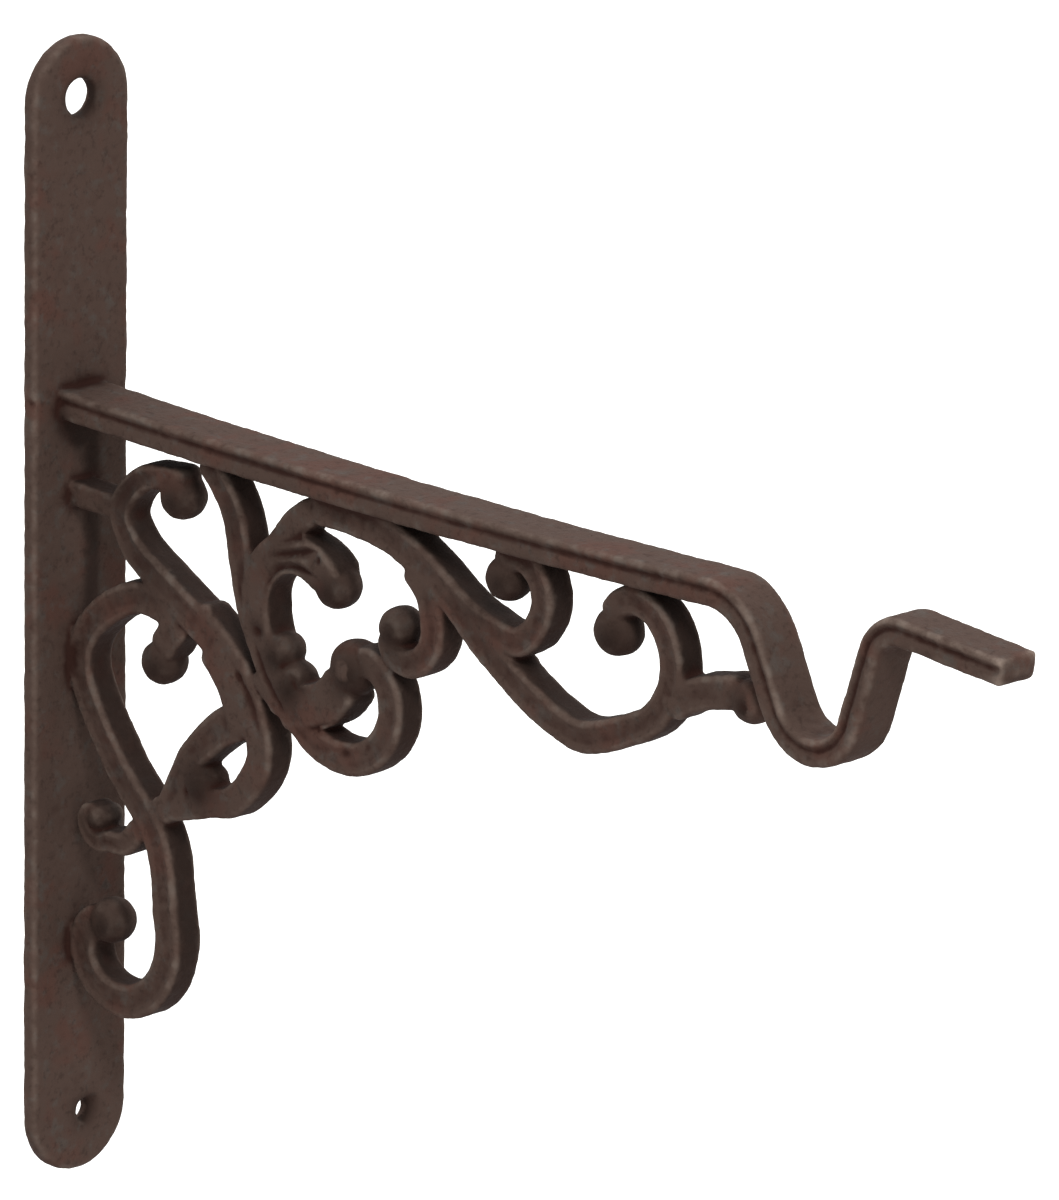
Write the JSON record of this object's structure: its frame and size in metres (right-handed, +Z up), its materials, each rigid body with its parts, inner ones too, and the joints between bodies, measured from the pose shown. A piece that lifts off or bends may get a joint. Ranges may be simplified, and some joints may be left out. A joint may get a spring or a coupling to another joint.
{
  "type": "hanging basket bracket",
  "caption": "Cast-iron wall bracket: a flat strip for screws, a flat arm that ends in an open hook dip, and openwork scrolls that brace the corner.",
  "frame": {"origin": "middle of the wall strip's back face, where it lies on the wall", "axes": "+X straight out from the wall along the arm, +Z up the strip, +Y across the strip"},
  "size_m": [0.3147, 0.031, 0.29],
  "materials": {
    "rusted_cast_iron": "sand-cast, weathered to a matt brown rust"
  },
  "bodies": {
    "root": {"cast_bracket": "rusted_cast_iron"}
  },
  "joints": []
}
